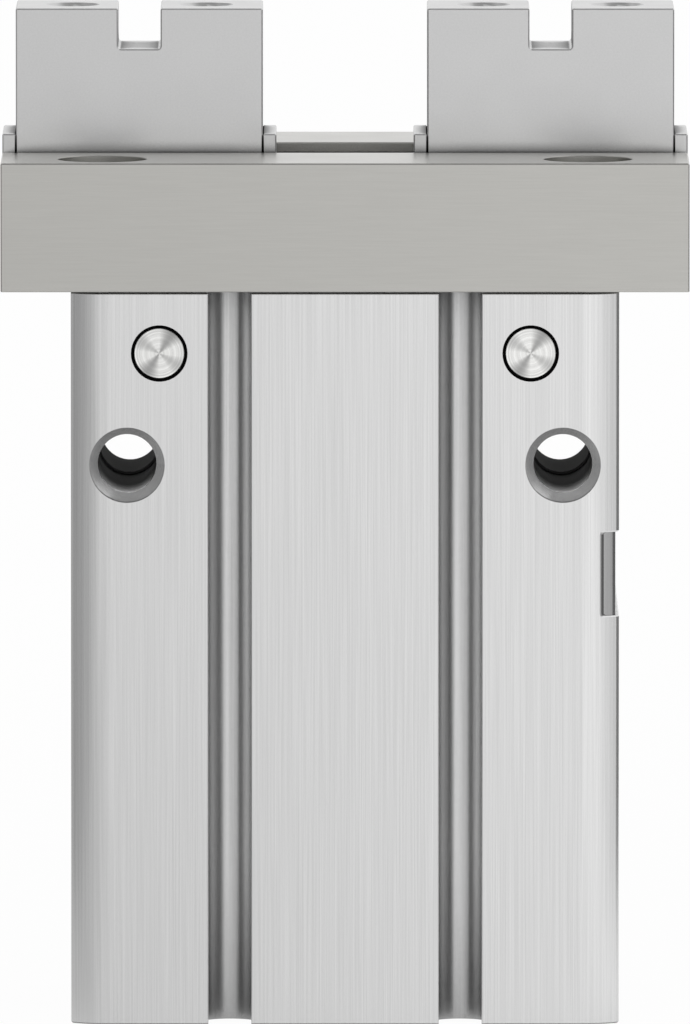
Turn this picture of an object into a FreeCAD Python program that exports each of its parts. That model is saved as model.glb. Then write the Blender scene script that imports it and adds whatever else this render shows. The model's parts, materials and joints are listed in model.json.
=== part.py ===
import FreeCAD, Part
import math
import os

# Pneumatic parallel gripper with a 16 mm bore, shown with its jaws open. Millimetres.
# Origin at the middle of the base, X along the jaws' travel, the front face at -Y, Z up to the jaws.

Vector = FreeCAD.Vector

# Housing extrusion: flat front and rear, broad rounded corners that meet flat narrow sides
body_width = 30.2
body_depth = 23.6
body_height = 40.5
corner_radius = 2.8
corner_run = 2.04
corner_edge_radius = 0.5
edge_break = 0.07
fine_break = 0.04

# Narrow gap round the joint of housing and guide, left by a low land on the housing's top
joint_gap = 0.1
joint_inset = 0.7

# C-shaped sensor slots, two in the front and two in the rear, set in from the sides
slot_inset = 8.75
slot_opening = 2.36
slot_depth = 3.0
slot_radius = 1.45
slot_break = 0.05

# Shallow recess round the right side, measured down from the top
recess_drop = 13.29
recess_height = 4.62
recess_reach = 1.02
recess_depth = 0.2
recess_corner = 0.15
recess_wall_slant = math.radians(60.0)

# Threaded holes that run from front to rear, opened out and coned at each mouth
mount_inset = 3.1
mount_drop = 9.55
thread_core = 1.62
lead_in_radius = 2.08
lead_in_lip = 0.8
lead_in_depth = 1.2
relief_radius = 1.75
relief_length = 5.2

# Threaded pair in the base, midway between the cylinder and the sides
base_thread_depth = 6.0
base_mouth_radius = 2.1

# Air ports on the left side
port_core = 2.1
port_mouth_radius = 2.6
port_depth = 5.0
port_passage = 0.9
port_from_end = 1.2

# Cylinder and the parts that close it from below
bore_radius = 8.0
cap_step = 0.5
spigot_recess_radius = 9.0
spigot_recess_depth = 1.6
ring_thickness = 0.95
ring_side_gap = 0.05
ring_groove_depth = 0.4
ring_width = 1.7
ring_lug_radius = 1.35
ring_lug_hole = 0.6
ring_gap_angle = 44.0
cap_length = 5.0
cap_fit = 0.03
cap_groove_depth = 1.3
cap_groove_width = 1.7
cap_pull_core = 1.25
cap_pull_depth = 2.4
cap_dish_radius = 5.6
cap_dish_depth = 1.0

# Piston and its rings
piston_length = 9.0
piston_clearance = 0.08
piston_relief_step = 0.7
piston_relief_length = 0.6
seal_clearance = 0.03
seal_groove_width = 2.3
seal_groove_depth = 2.1
seal_lip_notch = 0.45
seal_side_gap = 0.08
magnet_width = 3.0
magnet_thickness = 1.9
magnet_recess = 0.2
bumper_thickness = 0.9
bumper_inner = 3.2
bumper_outer = 6.0
stop_gap = 0.1

# Piston rod, its bush and seals in the partition
rod_radius = 2.5
rod_fit = 0.03
spigot_radius = 1.75
spigot_length = 5.0
spigot_fit = 0.01
piston_screw_radius = 1.25
piston_screw_length = 9.0
piston_screw_head_radius = 2.5
piston_screw_head_height = 1.8
head_gap = 0.25
thread_gap = 0.02
partition = 5.1
bush_radius = 4.0
bush_length = 2.4
rod_seal_radius = 4.8
rod_seal_notch = 0.5
retainer_thickness = 0.8
retainer_gap = 0.2
well_gap = 0.4
well_clearance = 0.4

# Levers: bell cranks on cross pins, with round ends in the rod's head and in the jaws
jaw_stroke = 3.0
lever_swing = math.radians(13.0)
pivot_inset = 4.88
pivot_drop = 3.38
pin_radius = 1.38
pin_fit = 0.005
pin_running_fit = 0.03
pin_inset = 0.03
pin_ring_width = 0.18
pin_ring_depth = 0.8
pin_ring_inset = 0.06
lever_thickness = 4.0
lever_side_gap = 0.2
lever_gap = 0.35
hub_wall = 1.15
hub_arm_half = 1.9
neck_half = 0.6
upper_neck_half = 0.8
tip_radius = 1.2
tip_gap = 0.12
jaw_tip_gap = 0.06
inner_tip_x = 2.82
inner_drop = 1.0
yoke_radius = 4.2
yoke_web = 2.6
yoke_top_flange = 0.95
yoke_bottom_flange = 1.2

# Guide block with its channel and ball races
guide_length = 37.9
guide_height = 7.1
guide_floor = 1.8
channel_width = 7.6
ball_radius = 0.79
ball_spacing = 0.03
race_clearance = 0.015
race_drop = 1.3
screw_side_inset = 1.72
screw_front_inset = 3.4
screw_radius = 1.25
screw_length = 10.0
screw_head_radius = 2.25
screw_head_height = 2.5
screw_socket = 2.0
screw_socket_depth = 1.25
screw_seat_depth = 3.2
screw_hole_gap = 0.15
screw_hole_spare = 0.5
counterbore_radius = 2.45

# Jaws with their end caps
jaw_length = 13.65
jaw_rise = 7.95
jaw_side_gap = 0.4
jaw_floor_gap = 0.4
notch_width = 2.36
notch_depth = 2.25
notch_corner = 0.17
jaw_hole_pitch = 7.4
jaw_hole_core = 1.25
jaw_hole_mouth = 1.5
jaw_hole_depth = 6.0
pocket_depth_gap = 0.25
cap_thickness = 0.75
cap_rise = 1.0
cap_floor_gap = 0.25
cap_screw_radius = 0.7
cap_screw_length = 3.0
cap_screw_head = 1.2
cap_screw_slot = 0.3

# Worked out from the sizes above
beyond = 1.0
hair = 0.001
drill_point = math.tan(math.radians(31.0))
slot_pitch = body_width - 2 * slot_inset
recess_top = body_height - recess_drop
recess_bottom = recess_top - recess_height
recess_start = body_width / 2 - recess_reach
mount_pitch = body_width - 2 * mount_inset
mount_height = body_height - mount_drop
pivot_x = body_width / 2 - pivot_inset
pivot_z = body_height - pivot_drop
inner_reach = pivot_x - inner_tip_x
hub_radius = pin_radius + hub_wall
upper_reach = jaw_stroke / (2 * math.sin(lever_swing))
rod_stroke = 2 * inner_reach * math.sin(lever_swing)
tip_rise = inner_reach * math.sin(lever_swing)
tip_sink = inner_drop * math.cos(lever_swing)
yoke_slot_z = pivot_z + tip_rise - tip_sink
lowest_tip_z = pivot_z - tip_rise - tip_sink - tip_radius
yoke_slot_half = tip_radius + tip_gap
yoke_top = yoke_slot_z + yoke_slot_half + yoke_top_flange
yoke_bottom = yoke_slot_z - yoke_slot_half - yoke_bottom_flange
well_bottom = yoke_bottom - rod_stroke - well_gap
chamber_top = well_bottom - partition
cap_bore_radius = bore_radius + cap_step
piston_top = chamber_top - bumper_thickness - stop_gap
piston_bottom = piston_top - piston_length
cap_seat = piston_bottom - rod_stroke - stop_gap - bumper_thickness
ring_groove_top = cap_seat - cap_length
ring_groove_bottom = ring_groove_top - ring_thickness - 2 * ring_side_gap
base_hole_x = (cap_bore_radius + ring_groove_depth + body_width / 2) / 2
piston_radius = bore_radius - piston_clearance
magnet_groove_width = magnet_width + 2 * seal_side_gap
piston_land = (piston_length - seal_groove_width - magnet_groove_width) / 3
seal_groove_floor = piston_radius - seal_groove_depth
seal_groove_z = piston_bottom + piston_land
magnet_radius = piston_radius - magnet_recess
magnet_z = seal_groove_z + seal_groove_width + piston_land
bush_bottom = well_bottom - bush_length
guide_top = body_height + guide_height
channel_floor = body_height + guide_floor
jaw_bottom = channel_floor + jaw_floor_gap
jaw_top = guide_top + jaw_rise
jaw_thickness = channel_width - 2 * jaw_side_gap
jaw_x = guide_length / 2 - cap_thickness - jaw_length / 2
tip_x = pivot_x + jaw_stroke / 2
ball_line = (channel_width + jaw_thickness) / 4
ball_z = guide_top - race_drop
race_radius = ball_radius + race_clearance
ball_pitch = 2 * ball_radius + ball_spacing
ball_count = int((jaw_length - jaw_stroke / 2) // ball_pitch)
screw_seat = guide_top - screw_seat_depth
cap_screw_z = (jaw_bottom + guide_top) / 2
lever_slot_half = lever_thickness / 2 + lever_side_gap


def turned(points):
    """Solid of revolution about Z from (radius, height) corners."""
    corners = [Vector(radius, 0, height) for radius, height in points]
    section = Part.Face(Part.makePolygon(corners + corners[:1]))
    return section.revolve(Vector(), Vector(0, 0, 1), 360)


def aimed(shape, base, axis):
    """Copy of a shape with its own Z laid along an axis from a base point."""
    placed = shape.copy()
    placed.Placement = FreeCAD.Placement(base, FreeCAD.Rotation(Vector(0, 0, 1), axis))
    return placed


def ring(inner, outer, bottom, top):
    return turned([(inner, bottom), (outer, bottom), (outer, top), (inner, top)])


def box(x_span, y_span, z_span):
    low, high = zip(x_span, y_span, z_span)
    return Part.makeBox(*(b - a for a, b in zip(low, high)), Vector(*low))


def broken_box(x_span, y_span, z_span):
    """Block with all its edges broken."""
    blank = box(x_span, y_span, z_span)
    return blank.makeChamfer(edge_break, blank.Edges)


def path(start, steps):
    """Wire of lines, given by their end, and arcs, given by a point on the way and their end."""
    edges = []
    here = start
    for step in steps:
        if len(step) == 1:
            edges.append(Part.LineSegment(here, step[0]).toShape())
        else:
            edges.append(Part.Arc(here, step[0], step[1]).toShape())
        here = step[-1]
    return Part.Wire(edges)


def bored(core, mouth, depth):
    """Drilled hole down its own +Z with a chamfered mouth and a drill point."""
    return turned([
        (0, -beyond), (mouth + beyond, -beyond), (core, mouth - core),
        (core, depth), (0, depth + core * drill_point),
    ])


def single(shape):
    return shape.removeSplitter().Solids[0]


def edges_at(shape, inside):
    """Edges of a shape whose ends both pass a test."""
    return [edge for edge in shape.Edges if all(inside(vertex.Point) for vertex in edge.Vertexes)]


def mirrored(shape):
    return shape.mirror(Vector(), Vector(1, 0, 0))


def housing_section(inset):
    """Outline of the extrusion, or the same moved inwards, and the place where a corner meets a side."""
    flat = body_width / 2 - corner_run
    centre = body_depth / 2 - corner_radius
    radius = corner_radius - inset
    side = body_width / 2 - inset
    turn = math.asin((corner_run - inset) / radius)

    def on_corner(angle, x_sign, y_sign):
        x = flat + radius * math.sin(angle)
        y = centre + radius * math.cos(angle)
        return Vector(x_sign * x, y_sign * y, 0)

    def corner_out(x_sign, y_sign):
        return (on_corner(turn / 2, x_sign, y_sign), on_corner(turn, x_sign, y_sign))

    def corner_in(x_sign, y_sign):
        return (on_corner(turn / 2, x_sign, y_sign), on_corner(0, x_sign, y_sign))

    outline = path(on_corner(0, -1, -1), [
        (on_corner(0, 1, -1),), corner_out(1, -1), (on_corner(turn, 1, 1),), corner_in(1, 1),
        (on_corner(0, -1, 1),), corner_out(-1, 1), (on_corner(turn, -1, -1),), corner_in(-1, -1),
    ])
    return outline, on_corner(turn, 1, 1)


def housing_prism(inset, height):
    """Extrusion of the outline moved inwards, its four corners rounded."""
    outline, corner = housing_section(inset)
    prism = Part.Face(outline).extrude(Vector(0, 0, height))
    sharp = edges_at(prism, lambda p: abs(abs(p.x) - corner.x) < hair and abs(abs(p.y) - corner.y) < hair)
    uprights = [edge for edge in sharp if edge.BoundBox.ZLength > hair]
    return prism.makeFillet(corner_edge_radius, uprights)


def side_recess():
    """Band cut round the right side, its end walls aslant and its floor the outline moved inwards."""
    along = recess_start - (body_width / 2 - corner_run)
    skin = body_depth / 2 - corner_radius + math.sqrt(corner_radius ** 2 - along ** 2)
    lean = Vector(math.cos(recess_wall_slant), math.sin(recess_wall_slant), 0)
    rim = Vector(recess_start, -skin, recess_bottom)
    outer, inner = rim - lean * beyond, rim + lean * beyond
    reach = body_width / 2 + beyond
    front = [Vector(reach, outer.y, recess_bottom), outer, inner]
    corners = front + [Vector(p.x, -p.y, p.z) for p in reversed(front)]
    band = Part.Face(Part.makePolygon(corners + corners[:1])).extrude(Vector(0, 0, recess_height))
    ends = edges_at(band, lambda p: p.x < inner.x + hair)
    level_edges = [edge for edge in ends if abs(edge.Length - 2 * beyond) < hair]
    band = band.makeFillet(recess_corner, level_edges)
    return band.cut(housing_prism(recess_depth, body_height))


def housing_blank():
    """Extrusion with its side recess, its broken rims and the low land that carries the guide."""
    shoulder = body_height - joint_gap
    prism = housing_prism(0, shoulder)
    skin = prism.Shells[0]
    blank = prism.cut(side_recess())

    def on_skin(edge):
        middle = edge.valueAt((edge.FirstParameter + edge.LastParameter) / 2)
        return skin.distToShape(Part.Vertex(middle))[0] < hair

    level = edges_at(blank, lambda p: abs(p.z - recess_top) < hair)
    level += edges_at(blank, lambda p: abs(p.z - recess_bottom) < hair)
    blank = blank.makeChamfer(edge_break, [edge for edge in level if on_skin(edge)])
    blank = blank.makeChamfer(edge_break, edges_at(blank, lambda p: abs(p.z) < hair))
    blank = blank.makeChamfer(fine_break, edges_at(blank, lambda p: p.z > shoulder - hair))
    return blank.fuse(housing_prism(joint_inset, body_height))


def sensor_slot(x):
    """Cutter for one slot of the front face: straight lips, then a round that is wider than the mouth."""
    front = -body_depth / 2
    mouth = slot_opening / 2
    lip = slot_depth - slot_radius - math.sqrt(slot_radius ** 2 - mouth ** 2)

    def at(across, depth):
        return Vector(x + across, front + depth, -beyond)

    spread = mouth + slot_break + beyond
    outline = path(at(-spread, -beyond), [
        (at(-mouth, slot_break),), (at(-mouth, lip),), (at(0, slot_depth), at(mouth, lip)),
        (at(mouth, slot_break),), (at(spread, -beyond),), (at(-spread, -beyond),),
    ])
    return Part.Face(outline).extrude(Vector(0, 0, body_height + 2 * beyond))


def sensor_slots():
    fronts = [sensor_slot(side * slot_pitch / 2) for side in (-1, 1)]
    return fronts + [slot.mirror(Vector(), Vector(0, 1, 0)) for slot in fronts]


def mount_holes():
    """Cutters for the front to rear holes, each half starting at the middle of the body."""
    face = body_depth / 2
    half = turned([
        (0, 0), (relief_radius, 0), (relief_radius, relief_length / 2), (thread_core, relief_length / 2),
        (thread_core, face - lead_in_depth), (lead_in_radius, face - lead_in_lip),
        (lead_in_radius, face + beyond), (0, face + beyond),
    ])
    return [
        aimed(half, Vector(side * mount_pitch / 2, 0, mount_height), Vector(0, facing, 0))
        for side in (-1, 1) for facing in (-1, 1)
    ]


def pin_holes():
    hole_radius = pin_radius + pin_fit
    ring_radius = pin_radius + pin_ring_width
    face = body_depth / 2
    half = turned([
        (0, 0), (hole_radius, 0), (hole_radius, face - pin_ring_depth),
        (ring_radius, face - pin_ring_depth), (ring_radius, face + beyond), (0, face + beyond),
    ])
    return [
        aimed(half, Vector(side * pivot_x, 0, pivot_z), Vector(0, facing, 0))
        for side in (-1, 1) for facing in (-1, 1)
    ]


def lever_cavity():
    """Slot for both levers, deeper in the middle where the rod's head works."""
    top = body_height + beyond
    outer = pivot_x + hub_radius + lever_gap
    shelf = pivot_z - hub_radius - lever_gap
    floor = lowest_tip_z - lever_gap
    ramp_start = pivot_x - inner_reach + 2 * tip_radius
    ramp_end = pivot_x - hub_radius
    half = [(outer, top), (outer, shelf), (ramp_end, shelf), (ramp_start, floor)]
    points = half + [(-x, z) for x, z in reversed(half)]
    corners = [Vector(x, -lever_slot_half, z) for x, z in points]
    section = Part.Face(Part.makePolygon(corners + corners[:1]))
    return section.extrude(Vector(0, 2 * lever_slot_half, 0))


def cylinder_void():
    """Everything bored on the middle axis, from the base to the lever well."""
    groove = cap_bore_radius + ring_groove_depth
    well = yoke_radius + well_clearance
    return turned([
        (0, -beyond), (spigot_recess_radius + edge_break + beyond, -beyond),
        (spigot_recess_radius, edge_break), (spigot_recess_radius, spigot_recess_depth),
        (cap_bore_radius, spigot_recess_depth), (cap_bore_radius, ring_groove_bottom),
        (groove, ring_groove_bottom), (groove, ring_groove_top), (cap_bore_radius, ring_groove_top),
        (cap_bore_radius, cap_seat), (bore_radius, cap_seat), (bore_radius, chamber_top),
        (rod_seal_radius, chamber_top), (rod_seal_radius, bush_bottom), (bush_radius, bush_bottom),
        (bush_radius, well_bottom), (well, well_bottom), (well, body_height + beyond),
        (0, body_height + beyond),
    ])


def air_ports():
    side = -body_width / 2
    cutters = []
    for height in (cap_seat + port_from_end, chamber_top - port_from_end):
        mouth = Vector(side, 0, height)
        cutters.append(aimed(bored(port_core, port_mouth_radius, port_depth), mouth, Vector(1, 0, 0)))
        cutters.append(Part.makeCylinder(port_passage, body_width / 2, mouth, Vector(1, 0, 0)))
    return cutters


def base_holes():
    hole = bored(thread_core, base_mouth_radius, base_thread_depth)
    return [aimed(hole, Vector(side * base_hole_x, 0, 0), Vector(0, 0, 1)) for side in (-1, 1)]


def screw_places():
    """Places of the four guide screws in X and Y."""
    along = body_width / 2 - screw_side_inset
    across = body_depth / 2 - screw_front_inset
    return [(x * along, y * across) for x in (-1, 1) for y in (-1, 1)]


def guide_screw_holes():
    depth = screw_length - (screw_seat - body_height) + screw_hole_spare
    radius = screw_radius + thread_gap
    hole = bored(radius, radius + edge_break, depth)
    return [aimed(hole, Vector(x, y, body_height), Vector(0, 0, -1)) for x, y in screw_places()]


def body_housing():
    cutters = sensor_slots() + mount_holes() + pin_holes() + air_ports() + base_holes()
    cutters += guide_screw_holes() + [lever_cavity(), cylinder_void()]
    return single(housing_blank().cut(cutters))


def guide_channel():
    """Cutter for the channel, with a round race in each wall and broken top edges."""
    wall = channel_width / 2
    race_half = math.sqrt(race_radius ** 2 - (wall - ball_line) ** 2)
    start_x = -guide_length / 2 - beyond
    spread = wall + edge_break + beyond

    def at(y, z):
        return Vector(start_x, y, z)

    outline = path(at(-spread, guide_top + beyond), [
        (at(-wall, guide_top - edge_break),), (at(-wall, ball_z + race_half),),
        (at(-ball_line - race_radius, ball_z), at(-wall, ball_z - race_half)),
        (at(-wall, channel_floor),), (at(wall, channel_floor),), (at(wall, ball_z - race_half),),
        (at(ball_line + race_radius, ball_z), at(wall, ball_z + race_half)),
        (at(wall, guide_top - edge_break),), (at(spread, guide_top + beyond),),
        (at(-spread, guide_top + beyond),),
    ])
    return Part.Face(outline).extrude(Vector(guide_length + 2 * beyond, 0, 0))


def guide_rail():
    blank = box((-guide_length / 2, guide_length / 2), (-body_depth / 2, body_depth / 2),
                (body_height, guide_top))
    uprights = [edge for edge in blank.Edges if edge.BoundBox.ZLength > guide_height / 2]
    blank = blank.makeChamfer(edge_break, uprights + edges_at(blank, lambda p: p.z > guide_top - hair))
    blank = blank.makeChamfer(fine_break, edges_at(blank, lambda p: p.z < body_height + hair))
    counterbore = turned([
        (0, -beyond), (screw_radius + screw_hole_gap, -beyond), (screw_radius + screw_hole_gap, screw_seat),
        (counterbore_radius, screw_seat), (counterbore_radius, guide_top - fine_break),
        (counterbore_radius + fine_break + beyond, guide_top + beyond), (0, guide_top + beyond),
    ])
    cutters = [guide_channel()]
    cutters += [aimed(counterbore, Vector(x, y, 0), Vector(0, 0, 1)) for x, y in screw_places()]
    window = jaw_stroke / 2 + tip_radius + lever_gap
    for side in (-1, 1):
        cutters.append(box((side * pivot_x - window, side * pivot_x + window),
                           (-lever_slot_half, lever_slot_half),
                           (body_height - beyond, channel_floor + beyond)))
    return single(blank.cut(cutters))


def socket_screw():
    """Socket head screw with the underside of its head at its own origin and the shank down."""
    body = turned([
        (0, -screw_length), (screw_radius - edge_break, -screw_length),
        (screw_radius, edge_break - screw_length), (screw_radius, 0), (screw_head_radius, 0),
        (screw_head_radius, screw_head_height - edge_break),
        (screw_head_radius - edge_break, screw_head_height), (0, screw_head_height),
    ])
    corner = screw_socket / math.sqrt(3)
    turns = [math.radians(60 * i) for i in range(7)]
    hexagon = Part.makePolygon([
        Vector(corner * math.cos(t), corner * math.sin(t), screw_head_height - screw_socket_depth)
        for t in turns
    ])
    return single(body.cut(Part.Face(hexagon).extrude(Vector(0, 0, screw_socket_depth + beyond))))


def guide_screws():
    screw = socket_screw()
    return Part.makeCompound([aimed(screw, Vector(x, y, screw_seat), Vector(0, 0, 1))
                              for x, y in screw_places()])


def jaw_notch():
    """Cutter for the notch across the top of the jaw, with round bottom corners and a broken mouth."""
    half = notch_width / 2
    bottom = jaw_top - notch_depth
    bend = notch_corner * (1 - math.sqrt(0.5))
    spread = half + edge_break + beyond
    rear = -jaw_thickness

    def at(x, z):
        return Vector(x, rear, z)

    outline = path(at(-spread, jaw_top + beyond), [
        (at(-half, jaw_top - edge_break),), (at(-half, bottom + notch_corner),),
        (at(-half + bend, bottom + bend), at(-half + notch_corner, bottom)),
        (at(half - notch_corner, bottom),),
        (at(half - bend, bottom + bend), at(half, bottom + notch_corner)),
        (at(half, jaw_top - edge_break),), (at(spread, jaw_top + beyond),),
        (at(-spread, jaw_top + beyond),),
    ])
    return Part.Face(outline).extrude(Vector(0, 2 * jaw_thickness, 0))


def jaw_blank():
    """Block of the jaw with its notch, all edges broken."""
    face = jaw_thickness / 2
    block = broken_box((-jaw_length / 2, jaw_length / 2), (-face, face), (jaw_bottom, jaw_top))
    block = block.cut(jaw_notch())
    reach = notch_width / 2 + hair
    front_rim = edges_at(block, lambda p: p.y < hair - face and abs(p.x) < reach)
    rear_rim = edges_at(block, lambda p: p.y > face - hair and abs(p.x) < reach)
    return block.makeChamfer(edge_break, front_rim + rear_rim)


def right_jaw():
    """Jaw with its carriage in the channel; built about its own middle, then moved to the open place."""
    half = jaw_length / 2
    cutters = []
    for side in (-1, 1):
        cutters.append(Part.makeCylinder(race_radius, jaw_length + 2 * beyond,
                                         Vector(-half - beyond, side * ball_line, ball_z), Vector(1, 0, 0)))
        cutters.append(aimed(bored(jaw_hole_core, jaw_hole_mouth, jaw_hole_depth),
                             Vector(side * jaw_hole_pitch / 2, 0, jaw_top), Vector(0, 0, -1)))
        cutters.append(aimed(bored(cap_screw_radius + thread_gap, cap_screw_radius + thread_gap,
                                   cap_screw_length),
                             Vector(side * half, 0, cap_screw_z), Vector(-side, 0, 0)))
    pocket_x = tip_x - jaw_x
    pocket_half = tip_radius + jaw_tip_gap
    pocket_top = pivot_z + upper_reach + tip_radius + pocket_depth_gap
    cutters.append(box((pocket_x - pocket_half, pocket_x + pocket_half),
                       (-lever_slot_half, lever_slot_half), (jaw_bottom - beyond, pocket_top)))
    jaw = single(jaw_blank().cut(cutters))
    jaw.translate(Vector(jaw_x, 0, 0))
    return jaw


def end_cap_plate(side):
    """Ball stop on one end of the right jaw, +1 for its outer end and -1 for its inner end."""
    inside = jaw_x + side * jaw_length / 2
    outside = inside + side * cap_thickness
    plate = broken_box((min(inside, outside), max(inside, outside)),
                       (-jaw_thickness / 2, jaw_thickness / 2),
                       (jaw_bottom + cap_floor_gap, guide_top + cap_rise))
    cone = cap_screw_head - cap_screw_radius
    sink = turned([
        (0, -beyond), (cap_screw_head + thread_gap, -beyond), (cap_screw_head + thread_gap, 0),
        (cap_screw_radius + thread_gap, cone), (cap_screw_radius + thread_gap, cap_thickness + beyond),
        (0, cap_thickness + beyond),
    ])
    return single(plate.cut(aimed(sink, Vector(outside, 0, cap_screw_z), Vector(-side, 0, 0))))


def cap_screws():
    """Countersunk screws of the right jaw's two end caps."""
    cone = cap_screw_head - cap_screw_radius
    screw = turned([
        (0, 0), (cap_screw_head, 0), (cap_screw_radius, cone),
        (cap_screw_radius, cap_screw_length), (0, cap_screw_length),
    ])
    slot = box((-cap_screw_head, cap_screw_head), (-cap_screw_slot / 2, cap_screw_slot / 2),
               (-beyond, cap_screw_slot))
    screw = single(screw.cut(slot))
    reach = jaw_length / 2 + cap_thickness
    return Part.makeCompound([
        aimed(screw, Vector(jaw_x + side * reach, 0, cap_screw_z), Vector(-side, 0, 0))
        for side in (-1, 1)
    ])


def ball_rows():
    """Both ball rows of the right jaw; open, they sit a quarter stroke inside the jaw's middle."""
    middle = jaw_x - jaw_stroke / 4
    first = middle - (ball_count - 1) * ball_pitch / 2
    return Part.makeCompound([
        Part.makeSphere(ball_radius, Vector(first + i * ball_pitch, side * ball_line, ball_z))
        for side in (-1, 1) for i in range(ball_count)
    ])


def lever_arm(end, root_half, end_half):
    """Tapered arm from the pivot to an end point in the lever's plane."""
    along = Vector(end).normalize()
    across = Vector(along.z, 0, -along.x)
    back = Vector(0, -lever_thickness / 2, 0)
    corners = [across * root_half, end + across * end_half, end - across * end_half, across * -root_half]
    corners = [corner + back for corner in corners]
    section = Part.Face(Part.makePolygon(corners + corners[:1]))
    return section.extrude(Vector(0, lever_thickness, 0))


def right_lever():
    upper = Vector(0, 0, upper_reach)
    inner = Vector(-inner_reach, 0, -inner_drop)
    back = Vector(0, -lever_thickness / 2, 0)
    along = Vector(0, 1, 0)
    hub = Part.makeCylinder(hub_radius, lever_thickness, back, along)
    lever = hub.fuse([
        lever_arm(upper, hub_arm_half, upper_neck_half), lever_arm(inner, hub_arm_half, neck_half),
        Part.makeCylinder(tip_radius, lever_thickness, upper + back, along),
        Part.makeCylinder(tip_radius, lever_thickness, inner + back, along),
    ])
    lever = single(lever.cut(Part.makeCylinder(pin_radius + pin_running_fit, lever_thickness, back, along)))
    lever.rotate(Vector(), along, math.degrees(lever_swing))
    lever.translate(Vector(pivot_x, 0, pivot_z))
    return lever


def right_pivot_pin():
    half = body_depth / 2 - pin_inset
    pin = turned([
        (0, -half), (pin_radius - fine_break, -half), (pin_radius, fine_break - half),
        (pin_radius, half - fine_break), (pin_radius - fine_break, half), (0, half),
    ])
    return aimed(pin, Vector(pivot_x, 0, pivot_z), Vector(0, 1, 0))


def pin_seal_rings():
    face = body_depth / 2
    seal = ring(pin_radius, pin_radius + pin_ring_width, face - pin_ring_depth, face - pin_ring_inset)
    return Part.makeCompound([
        aimed(seal, Vector(side * pivot_x, 0, pivot_z), Vector(0, facing, 0))
        for side in (-1, 1) for facing in (-1, 1)
    ])


def piston_rod():
    """Rod with its cross-slotted head on top and a drilled spigot for the piston below."""
    spigot_end = piston_top - spigot_length
    hole_top = spigot_end + piston_screw_length
    rod = turned([
        (0, spigot_end), (spigot_radius, spigot_end), (spigot_radius, piston_top), (rod_radius, piston_top),
        (rod_radius, yoke_bottom), (yoke_radius - edge_break, yoke_bottom),
        (yoke_radius, yoke_bottom + edge_break), (yoke_radius, yoke_top - edge_break),
        (yoke_radius - edge_break, yoke_top), (0, yoke_top),
    ])
    reach = yoke_radius + beyond
    slots = [
        box((min(side * yoke_web / 2, side * reach), max(side * yoke_web / 2, side * reach)),
            (-reach, reach), (yoke_slot_z - yoke_slot_half, yoke_slot_z + yoke_slot_half))
        for side in (-1, 1)
    ]
    hole = aimed(bored(piston_screw_radius + thread_gap, piston_screw_radius + thread_gap,
                       hole_top - spigot_end),
                 Vector(0, 0, spigot_end), Vector(0, 0, 1))
    return single(rod.cut(slots + [hole]))


def piston_head_floor():
    """Height of the face in the piston that the screw's head bears on."""
    return piston_bottom + piston_screw_head_height + head_gap


def piston():
    relief = piston_radius - piston_relief_step
    seal_top = seal_groove_z + seal_groove_width
    magnet_top = magnet_z + magnet_groove_width
    magnet_floor = magnet_radius - magnet_thickness - seal_side_gap
    spigot_hole = spigot_radius + spigot_fit
    screw_hole = piston_screw_radius + thread_gap
    head_hole = piston_screw_head_radius + head_gap
    spigot_end = piston_top - spigot_length
    return turned([
        (head_hole, piston_bottom), (relief, piston_bottom), (relief, piston_bottom + piston_relief_length),
        (piston_radius, piston_bottom + piston_relief_length), (piston_radius, seal_groove_z),
        (seal_groove_floor, seal_groove_z), (seal_groove_floor, seal_top), (piston_radius, seal_top),
        (piston_radius, magnet_z), (magnet_floor, magnet_z), (magnet_floor, magnet_top),
        (piston_radius, magnet_top), (piston_radius, piston_top - piston_relief_length),
        (relief, piston_top - piston_relief_length), (relief, piston_top), (spigot_hole, piston_top),
        (spigot_hole, spigot_end), (screw_hole, spigot_end), (screw_hole, piston_head_floor()),
        (head_hole, piston_head_floor()),
    ])


def piston_seal():
    """Double-lipped ring, pinched in the middle of its outside."""
    outer = bore_radius - seal_clearance
    low = seal_groove_z + seal_side_gap
    high = seal_groove_z + seal_groove_width - seal_side_gap
    middle = (low + high) / 2
    inner = seal_groove_floor
    return turned([
        (inner, low), (outer - seal_lip_notch, low), (outer, low + seal_lip_notch),
        (outer - seal_lip_notch, middle), (outer, high - seal_lip_notch), (outer - seal_lip_notch, high),
        (inner, high),
    ])


def magnet_ring():
    low = magnet_z + seal_side_gap
    return ring(magnet_radius - magnet_thickness, magnet_radius, low, low + magnet_width)


def piston_screw():
    seat = piston_head_floor()
    socket = piston_screw_radius
    tip = piston_top - spigot_length + piston_screw_length - stop_gap
    return turned([
        (0, seat - piston_screw_head_height / 2), (socket, seat - piston_screw_head_height / 2),
        (socket, seat - piston_screw_head_height),
        (piston_screw_head_radius, seat - piston_screw_head_height), (piston_screw_head_radius, seat),
        (piston_screw_radius, seat), (piston_screw_radius, tip), (0, tip),
    ])


def rod_seal():
    """Lip seal with its groove open towards the pressure below."""
    inner = rod_radius + rod_fit
    low = chamber_top + retainer_thickness
    middle = (inner + rod_seal_radius) / 2
    return turned([
        (inner, low), (middle - rod_seal_notch, low), (middle, low + 2 * rod_seal_notch),
        (middle + rod_seal_notch, low), (rod_seal_radius, low), (rod_seal_radius, bush_bottom),
        (inner, bush_bottom),
    ])


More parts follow.
